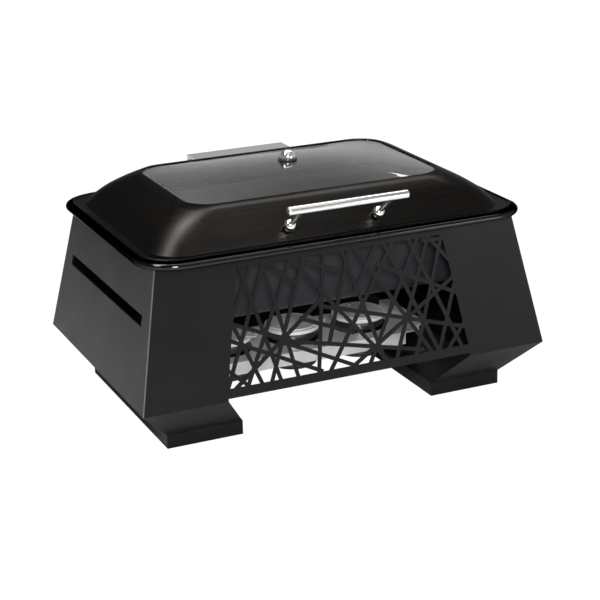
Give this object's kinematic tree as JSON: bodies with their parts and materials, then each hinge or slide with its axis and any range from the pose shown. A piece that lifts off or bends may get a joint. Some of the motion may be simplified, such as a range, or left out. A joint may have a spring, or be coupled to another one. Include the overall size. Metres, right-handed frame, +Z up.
{
  "type": "chafing dish",
  "caption": "Rectangular chafing dish on a folded black stand with a crossing-bar grille, fuel burners, water pan, food pan and a hinged lid with a glass window",
  "frame": {"origin": "on the table, under the middle of the box round the stand and its handle, 8 mm in front of the stand's own middle", "axes": "+X along the length to the right as seen from the handle side, +Y to the hinge side, +Z up"},
  "size_m": [0.672, 0.468, 0.3856],
  "materials": {
    "black_coat": "satin black powder coat",
    "black_gloss": "gloss black",
    "dark_steel": "dark brushed, warm grey",
    "steel": "plain satin",
    "polished": "polished",
    "seal": "matt",
    "window": "clear, tempered"
  },
  "bodies": {
    "stand": {"front_panel": "black_coat", "back_panel": "black_coat", "left_panel": "black_coat", "right_panel": "black_coat", "left_foot_plate": "black_coat", "right_foot_plate": "black_coat", "pan_frame": "black_coat", "fuel_shelf": "steel"},
    "water_pan": {"water_pan": "black_gloss", "hinge_bracket": "polished", "bracket_screws": "polished", "hinge_pin": "polished"},
    "food_pan": {"food_pan": "steel"},
    "lid": {"lid_shell": "dark_steel", "glass_gasket": "seal", "lid_glass": "window", "vent_washer": "seal", "vent_cap": "polished", "vent_nut": "polished", "handle_bar": "polished", "handle_posts": "polished", "handle_balls": "polished", "handle_nuts": "polished", "hinge_housing": "polished", "hinge_screws": "polished"},
    "left_burner": {"left_fuel_cup": "steel", "left_cup_cover": "steel", "left_damper_pivot": "steel"},
    "left_damper": {"left_damper": "steel"},
    "middle_burner": {"middle_fuel_cup": "steel", "middle_cup_cover": "steel", "middle_damper_pivot": "steel"},
    "middle_damper": {"middle_damper": "steel"},
    "right_burner": {"right_fuel_cup": "steel", "right_cup_cover": "steel", "right_damper_pivot": "steel"},
    "right_damper": {"right_damper": "steel"}
  },
  "joints": [
    {"name": "water_pan_lift", "type": "slide", "parent": "stand", "child": "water_pan", "axis": [0, 0, 1], "range_m": [0, 0.12]},
    {"name": "food_pan_lift", "type": "slide", "parent": "water_pan", "child": "food_pan", "axis": [0, 0, 1], "range_m": [0, 0.01]},
    {"name": "lid_hinge", "type": "hinge", "parent": "water_pan", "child": "lid", "pos_m": [0, 0.218, 0.325], "axis": [-1, 0, 0], "range_deg": [0, 90]},
    {"name": "left_burner_lift", "type": "slide", "parent": "stand", "child": "left_burner", "axis": [0, 0, 1], "range_m": [0, 0.06]},
    {"name": "middle_burner_lift", "type": "slide", "parent": "stand", "child": "middle_burner", "axis": [0, 0, 1], "range_m": [0, 0.06]},
    {"name": "right_burner_lift", "type": "slide", "parent": "stand", "child": "right_burner", "axis": [0, 0, 1], "range_m": [0, 0.06]},
    {"name": "left_damper_swing", "type": "hinge", "parent": "left_burner", "child": "left_damper", "pos_m": [-0.12, 0.042, 0.097], "axis": [0, 0, 1], "range_deg": [0, 120]},
    {"name": "middle_damper_swing", "type": "hinge", "parent": "middle_burner", "child": "middle_damper", "pos_m": [0, 0.042, 0.097], "axis": [0, 0, 1], "range_deg": [0, 120]},
    {"name": "right_damper_swing", "type": "hinge", "parent": "right_burner", "child": "right_damper", "pos_m": [0.12, 0.042, 0.097], "axis": [0, 0, 1], "range_deg": [0, 120]}
  ]
}
